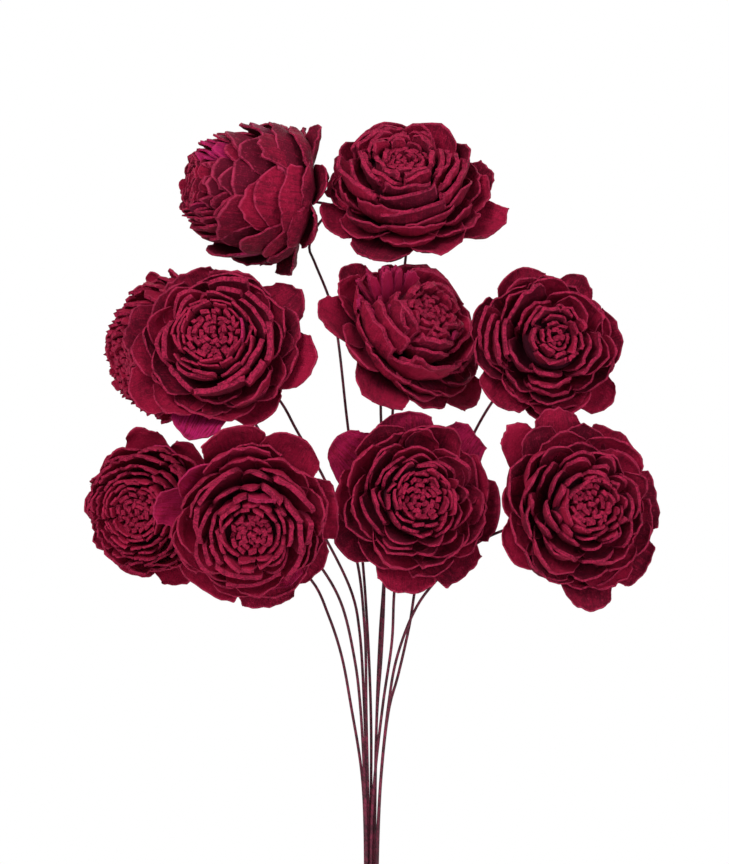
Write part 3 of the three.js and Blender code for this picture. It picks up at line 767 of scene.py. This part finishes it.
def heart_chips(rng, rose):
    """The fringed heart: rows of small square chips, packed close round the middle."""
    chips = []
    radius = CHIP_FIRST_ROW
    while radius < rose["chips"]:
        near_rim = radius / rose["heart"]
        count = max(3, round(2 * math.pi * radius / (CHIP_WIDTH + CHIP_WIDENING * near_rim)))
        for middle, share in uneven_shares(rng, count, SHARE_SPREAD["chips"]):
            top = rose["top"] - HEART_DISHING * (1 - near_rim ** 2) - abs(rng.gauss(0, CHIP_UNEVENNESS))
            near = radius + either_way(rng, CHIP_SHIFT)
            half = math.pi * radius * share * CHIP_FILL
            cut = {**CHIP, "thickness": CHIP_ROW * rng.uniform(*CHIP_THICKNESS), "foot_width": half}
            chips.append(petal_facts(
                rng, 360 * middle, (near * CHIP_FOOT_LEAN, top - CHIP_LENGTH),
                (near * CHIP_ELBOW_LEAN, top - CHIP_LENGTH / 2), (near + rng.uniform(*CHIP_TIP_SHIFT), top),
                half, max(radius, CHIP_LEAST_CURVE) * CHIP_CURVE, cut))
        radius += CHIP_ROW * rng.uniform(*CHIP_ROW_CHANGE)
    return chips


def within(turn, start, end):
    """Whether a direction lies in the sector from start to end, in degrees."""
    return (turn - start) % 360 < end - start


def slab_rounds(rng, rose, rounds):
    """The rounds of slabs that stand nested round the heart, each cut into uneven lengths."""
    slabs = []
    style = CUTS[rose["cut"]]
    packs = [(middle, share, either_way(rng, PACK_SHIFT), either_way(rng, PACK_RISE))
             for middle, share in uneven_shares(rng, style.get("packs", 1), SHARE_SPREAD["packs"])]
    for order, (radius, below, half_width, thickness) in enumerate(rounds):
        beyond_heart = radius >= rose["heart"] + HEART_MARGIN
        count = max(4, round(math.pi * radius / half_width))
        loose = style["loose"] * (LOOSE_MIDDLE + LOOSE_RIM * radius / HEAD_RADIUS)
        shares = [(middle, share, 0.0, 0.0)
                  for middle, share in uneven_shares(rng, count, SHARE_SPREAD["slabs"])]
        if len(packs) > 1 and beyond_heart:
            shares = [(pack[0] + either_way(rng, PACK_TURN), *pack[1:]) for pack in packs]
        for middle, share, further, higher in shares:
            cut = {**style, "thickness": thickness * rng.uniform(*SLAB_THICKNESS), "thinning": SLAB_THINNING,
                   "roundness": style["roundness"] * rng.uniform(*SLAB_ROUNDNESS),
                   "yaw": style["yaw"] * radius / YAW_RADIUS}
            flat = style["flat"]
            if beyond_heart and rng.random() < style["cupped"]:
                flat = rng.uniform(*CUPPED_FLAT)
                cut["thickness"] *= CUPPED_THINNER
                cut["roundness"] = rng.uniform(*CUPPED_ROUNDNESS)
            if "stain" in rose and within(360 * middle, *rose["stain"][:2]):
                near_stain = rose["stain"][2] < radius < rose["stain"][3]
                cut["tint"] = STAIN_TINT if near_stain else 0.0
            if beyond_heart and "open" in rose and within(360 * middle, *rose["open"]):
                continue
            near = radius + either_way(rng, loose) + further
            tip = rose["top"] - below + rng.gauss(0, 0.5 + 0.5 * loose) + higher
            if beyond_heart:
                foot = (FOOT_RADIUS, min(SLAB_FOOT, tip - SLAB_LEAST_LENGTH) - SLAB_FOOT_STEP * order)
                elbow = (near * style["lean"], foot[1] + SLAB_ELBOW_RISE)
            else:
                foot = (near * SHORT_SLAB_LEAN, tip - SHORT_SLAB)
                elbow = (near * style["lean"], tip - SHORT_SLAB / 2)
            slabs.append(petal_facts(
                rng, 360 * middle, foot, elbow, (near + either_way(rng, loose) * 0.5, tip),
                math.pi * radius * share * style["fill"], radius * rng.uniform(*SLAB_CURVE) * flat, cut))
    return slabs


def single_strips(rng, rose):
    """Strips that stand by themselves beside the heart, flat enough for their width and shift."""
    strips = []
    for azimuth, bend, radius, below, half_width, shift in rose.get("strips", []):
        # A rose gives its strips' tone, raised as painted light where they stand in bright light
        cut = {**STRIP, "tint": rose["strip_tint"], "tone": rose["strip_tone_and_painted_light"]}
        strip = petal_facts(
            rng, azimuth, (FOOT_RADIUS, STRIP_FOOT), (bend, STRIP_ELBOW), (radius, rose["top"] - below),
            half_width, max(radius, half_width * 1.5, abs(shift) * 4), cut)
        strip["sway"] += shift
        strips.append(strip)
    return strips


def outer_rounds(rng, rose):
    """The broad cupped petals, and the outermost ones, each in its own place."""
    petals = []
    style = CUTS[rose["cut"]]
    for order, (radius, below, half_width) in enumerate(rose["broad"]):
        count = round(math.pi * radius / half_width)
        for turn, (middle, share) in enumerate(uneven_shares(rng, count, SHARE_SPREAD["broad"])):
            shift = rng.uniform(*BROAD_SHIFT) + BROAD_STAGGER * (-1) ** turn
            near = radius + shift * min(1.0, style["loose"])
            cut = {**BROAD, "roundness": rng.uniform(0.05, 0.3), "taper": rng.uniform(0.0, 0.25)}
            petals.append(petal_facts(
                rng, 360 * middle, (FOOT_RADIUS, BROAD_FOOT - order),
                (near * style["lean"] * rng.uniform(*BROAD_LEAN), BROAD_FOOT - order),
                (near, rose["top"] - below + either_way(rng, BROAD_UNEVENNESS)),
                math.pi * radius * share * BROAD_FILL,
                radius * rng.uniform(*style.get("cup", BROAD_CUP)), cut))
    outermost = rose["outermost"]
    for order, (azimuth, reach, width, *tint) in enumerate(outermost):
        layer = OUTERMOST_LAYER * (order % 2)
        cut = {**OUTERMOST, "roundness": rng.uniform(0.0, 0.22), "taper": rng.uniform(0.0, 0.35),
               "tint": tint[0] if tint else 0.0}
        petals.append(petal_facts(
            rng, azimuth, (FOOT_RADIUS, OUTERMOST_FOOT + layer),
            (reach * OUTERMOST_ELBOW[0], layer + OUTERMOST_ELBOW[1]),
            (reach, rose["tip"] + layer + either_way(rng, OUTERMOST_UNEVENNESS)),
            width / 2 * OUTERMOST_FILL, width * rng.uniform(*OUTERMOST_CUP), cut))

        # A shorter petal stands in front of each gap between two outermost ones
        beside = outermost[(order + 1) % len(outermost)]
        gap = (beside[0] - azimuth + 180) % 360 - 180
        near = (reach + beside[1]) / 2 - FILLER_SHORTENING
        cut = {**cut, "tint": max(0.0, rng.uniform(*FILLER_TINT)), "taper": rng.uniform(0.05, 0.3)}
        petals.append(petal_facts(
            rng, azimuth + gap / 2 + either_way(rng, FILLER_TURN), (FOOT_RADIUS, FILLER_FOOT),
            (near * FILLER_ELBOW[0], FILLER_ELBOW[1]),
            (near, rose["tip"] + FILLER_RISE + either_way(rng, FILLER_UNEVENNESS)),
            (width + beside[2]) / 4 * FILLER_FILL, width * rng.uniform(*FILLER_CUP), cut))
    return petals


def head_place(rose):
    """A head's own frame: +Z the way it faces, +X to the viewer's right."""
    turn, tilt = (math.radians(angle) for angle in rose["facing"])
    facing = Vector((math.sin(turn) * math.cos(tilt), -math.cos(turn) * math.cos(tilt), math.sin(tilt)))
    right = Vector((0, 0, 1)).cross(facing).normalized()
    up = facing.cross(right)
    place = Matrix((right, up, facing)).transposed().to_4x4()
    return Matrix.Translation(Vector(rose["seat"]) * MM) @ place


def points_mesh(facts):
    """A point for every petal, with its facts stored on it."""
    mesh = bpy.data.meshes.new("petal_points")
    mesh.from_pydata([(0, 0, 0)] * len(facts), [], [])
    for name in PETAL_FACTS:
        values = mesh.attributes.new(name, "FLOAT", "POINT")
        values.data.foreach_set("value", [fact[name] for fact in facts])
    return mesh


def drum_mesh(rose):
    """The pith core and the drum under the heart's chips."""
    rim = rose["heart"] - DRUM_INSET
    floor = rose["top"] - FRINGE_DEPTH
    rings = [(CORE_RADIUS, 0.0), (CORE_RADIUS, DRUM_FLARE_START), (rim, DRUM_FLARE_END),
             (rim, floor - SHOULDER_DROP), (rim - SHOULDER_WIDTH, floor)]
    places = [(0, 0, 0)]
    for radius, height in rings:
        for side in range(DRUM_SIDES):
            turn = 2 * math.pi * side / DRUM_SIDES
            places.append((radius * math.cos(turn) * MM, radius * math.sin(turn) * MM, height * MM))
    places.append((0, 0, floor * MM))
    faces = []
    for side in range(DRUM_SIDES):
        after = (side + 1) % DRUM_SIDES
        faces.append((0, 1 + after, 1 + side))
        for ring in range(len(rings) - 1):
            low = 1 + ring * DRUM_SIDES
            above = low + DRUM_SIDES
            faces.append((low + side, low + after, above + after, above + side))
        last = 1 + (len(rings) - 1) * DRUM_SIDES
        faces.append((last + side, last + after, len(places) - 1))
    mesh = bpy.data.meshes.new("drum")
    mesh.from_pydata(places, [], faces)
    return mesh


def piece(name, mesh, finish):
    made = placed(name, mesh)
    mesh.materials.clear()
    mesh.materials.append(finish)
    return made


def joined(main, other):
    with bpy.context.temp_override(active_object=main, selected_editable_objects=[main, other]):
        bpy.ops.object.join()
    return main


def head(name, rose):
    """One rose: its heart, its inner and its outer petals. The name seeds its chances."""
    rng = random.Random(name)
    place = head_place(rose)
    heart_end = rose["heart"] + HEART_MARGIN
    inside = [row for row in rose["rounds"] if row[0] < heart_end]
    outside = [row for row in rose["rounds"] if row[0] >= heart_end]
    layouts = {
        "heart": heart_chips(rng, rose) + slab_rounds(rng, rose, inside),
        "inner_petals": slab_rounds(rng, rose, outside) + single_strips(rng, rose),
        "outer_petals": outer_rounds(rng, rose),
    }
    for kind, facts in layouts.items():
        for fact in facts:
            # Each rose's painted light, or painted shade where it is below zero, shifts the tone of all its
            # petals
            fact["tone"] += rose.get("dye", 0.0)
        across, along = PLATE_GRID[kind]
        finish = FINISHES[kind]
        mesh = grown(PETAL_TREE, points_mesh(facts), {"Across": across, "Along": along, "Material": finish})
        made = piece(f"{name}_{kind}_pith", mesh, finish)
        if kind == "heart":
            made = joined(made, piece("drum", drum_mesh(rose), finish))
        made.data.transform(place)
        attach(made, name)
        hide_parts(f"{name}_{kind}")


# Stems and tie

def slot_place(row, step):
    """The middle of a stem in the tie: the wires lie in three rows, nested like bricks."""
    shift = -0.5 if row == 0 else 0.0
    return (step + shift) * WIRE_PITCH, row * WIRE_PITCH * math.sin(math.pi / 3)


def smooth_line(points, step):
    """Places along a smooth curve through the points, close to a step apart.

    Each stretch is mixed from the four points round it, with knots by the roots of their distances.
    """
    points = [2 * points[0] - points[1], *points, 2 * points[-1] - points[-2]]
    places = []
    for corners in zip(points, points[1:], points[2:], points[3:]):
        knots = [0.0]
        for near, far in zip(corners, corners[1:]):
            knots.append(knots[-1] + math.sqrt((far - near).length))
        count = max(1, round((corners[2] - corners[1]).length / step))
        for part in range(count):
            at = knots[1] + (knots[2] - knots[1]) * part / count
            row = list(corners)
            for spans in (((0, 1), (1, 2), (2, 3)), ((0, 2), (1, 3)), ((1, 2),)):
                shares = [(at - knots[low]) / (knots[high] - knots[low]) for low, high in spans]
                row = [near + (far - near) * share for near, far, share in zip(row, row[1:], shares)]
            places.append(row[0])
    return [*places, points[-2]]


def stem(name, rose, finish):
    """One wire, from its end below the tie into the core of its rose."""
    facing = (head_place(rose).to_3x3() @ Vector((0, 0, 1))).normalized()
    seat = Vector(rose["seat"])
    x, y = slot_place(*rose["slot"])
    points = [Vector((x, y, z)) for z in (-TAIL_LENGTH, 0, TIE_WIDTH)]
    points += [Vector(place) for place in rose["stem"]]
    incoming = (points[-1] - seat).normalized()
    points += [seat - facing * NECK_FAR + incoming * NECK_SWAY, seat - facing * NECK_NEAR,
               seat + facing * SOCKET_DEPTH]
    line = [place * MM for place in smooth_line(points, WIRE_STEP)]
    mesh = bpy.data.meshes.new("stem_line")
    mesh.from_pydata(line, [(start, start + 1) for start in range(len(line) - 1)], [])
    wire = grown(WIRE_TREE, mesh, {"Radius": WIRE_RADIUS * MM, "Sides": WIRE_SIDES, "Material": finish})
    made = piece(f"{name}_wire", wire, finish)
    pivot = Vector(rose["stem"][1])
    before, after = points[3], points[5]
    reach = (after - before).normalized() * BEND_REACH
    (pivot - reach) * MM
    (pivot + reach) * MM
    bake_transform(made)
    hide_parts(f"{name}_stem_upper", f"{name}_stem_lower")


def tie_mesh():
    """Tape wound round the stems, each turn lapping over the one below."""
    places = []
    laps = []
    for column in range(TIE_COLUMNS):
        round_share = column / TIE_COLUMNS
        turn = 2 * math.pi * (round_share + TAPE_START)
        for row in range(TIE_ROWS + 1):
            height = TIE_WIDTH * (row / TIE_ROWS - 0.5)
            lap = (height / TAPE_PITCH - round_share) % 1
            radius = TIE_RADIUS + TAPE_STEP * (1 - lap)
            places.append((radius * math.cos(turn) * MM, radius * math.sin(turn) * MM, height * MM))
            laps.append(lap)
        for height in (TIE_WIDTH / 2, -TIE_WIDTH / 2):
            places.append((TIE_BORE * math.cos(turn) * MM, TIE_BORE * math.sin(turn) * MM, height * MM))
            laps.append(0.5)
    ring = TIE_ROWS + 3
    faces = []
    for column in range(TIE_COLUMNS):
        here = column * ring
        after = (column + 1) % TIE_COLUMNS * ring
        for row in range(ring):
            above = (row + 1) % ring
            faces.append((here + row, after + row, after + above, here + above))
    mesh = bpy.data.meshes.new("tie")
    mesh.from_pydata(places, [], faces)
    mesh.attributes.new("lap", "FLOAT", "POINT").data.foreach_set("value", laps)
    return mesh


for rose_name, rose_facts in ROSES.items():
    head(rose_name, rose_facts)

WIRE_FINISH = wire_wrap()
for rose_name, rose_facts in ROSES.items():
    stem(rose_name, rose_facts, WIRE_FINISH)

TIE_FINISH = tie_tape()
TIE = piece("tie_tape", tie_mesh(), TIE_FINISH)
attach(TIE, "bundle")
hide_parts("tie")


# Floor, light and camera

def seen_directly(net):
    """1 for what the camera sees, straight or in a reflection or through glass, and 0 for lighting."""
    ray = net.node("ShaderNodeLightPath")
    bounced = net.maths("MAXIMUM", ray.out("Is Glossy Ray"), ray.out("Is Transmission Ray"))
    return net.maths("MAXIMUM", ray.out("Is Camera Ray"), bounced)


def stage_floor():
    low = CAD_BOX[0].z - FLOOR_GAP
    mesh = bpy.data.meshes.new("floor")
    corners = [(-FLOOR_HALF, -FLOOR_HALF, low), (FLOOR_HALF, -FLOOR_HALF, low),
               (FLOOR_HALF, FLOOR_HALF, low), (-FLOOR_HALF, FLOOR_HALF, low)]
    mesh.from_pydata(corners, [], [(0, 1, 2, 3)])
    floor = placed("floor", mesh)
    made, net = material("pale_floor")
    matt = net.node("ShaderNodeBsdfDiffuse", None, {"Color": (FLOOR_GREY, FLOOR_GREY, FLOOR_GREY, 1)})
    white = net.node("ShaderNodeEmission", None, {"Color": (1, 1, 1, 1), "Strength": 1.0})
    place = net.node("ShaderNodeTexCoord").out("Object")
    middle = net.node("ShaderNodeVectorMath", {"operation": "LENGTH"}, {0: place})
    away = net.smooth(middle.out("Value"), FLOOR_NEAR, FLOOR_FAR)
    whiteness = seen_directly(net) * (FLOOR_WHITENESS + away * (1 - FLOOR_WHITENESS))
    mixed = net.node("ShaderNodeMixShader", None, {0: whiteness, 1: matt, 2: white})
    net.node("ShaderNodeOutputMaterial", None, {"Surface": mixed})
    mesh.materials.append(made)


def soft_light(name, place, width, power, colour):
    data = bpy.data.lights.new(name, "AREA")
    data.shape = "DISK"
    data.size = width
    data.energy = power
    data.color = colour
    lamp = placed(name, data)
    lamp.location = place
    lamp.rotation_euler = (Vector(LIGHT_TARGET) - Vector(place)).to_track_quat("-Z", "Y").to_euler()


def studio():
    world = bpy.data.worlds.new("studio")
    bpy.context.scene.world = world
    world.use_nodes = True
    world.node_tree.nodes.clear()
    net = Net(world.node_tree)
    strength = SKY_LIGHT + seen_directly(net) * (SKY_SEEN - SKY_LIGHT)
    sky = net.node("ShaderNodeBackground", None, {"Color": (1, 1, 1, 1), "Strength": strength})
    net.node("ShaderNodeOutputWorld", None, {"Surface": sky})
    for name, facts in LIGHTS.items():
        soft_light(name, *facts)


def camera():
    data = bpy.data.cameras.new("camera")
    data.lens = CAMERA_LENS
    data.sensor_fit = "HORIZONTAL"
    data.sensor_width = CAMERA_SENSOR
    made = placed("camera", data)
    made.location = Vector(CAMERA_PLACE) * MM
    made.rotation_euler = (math.pi / 2, 0, 0)
    bpy.context.scene.camera = made


stage_floor()
studio()
camera()
bpy.context.scene.view_settings.view_transform = "Standard"
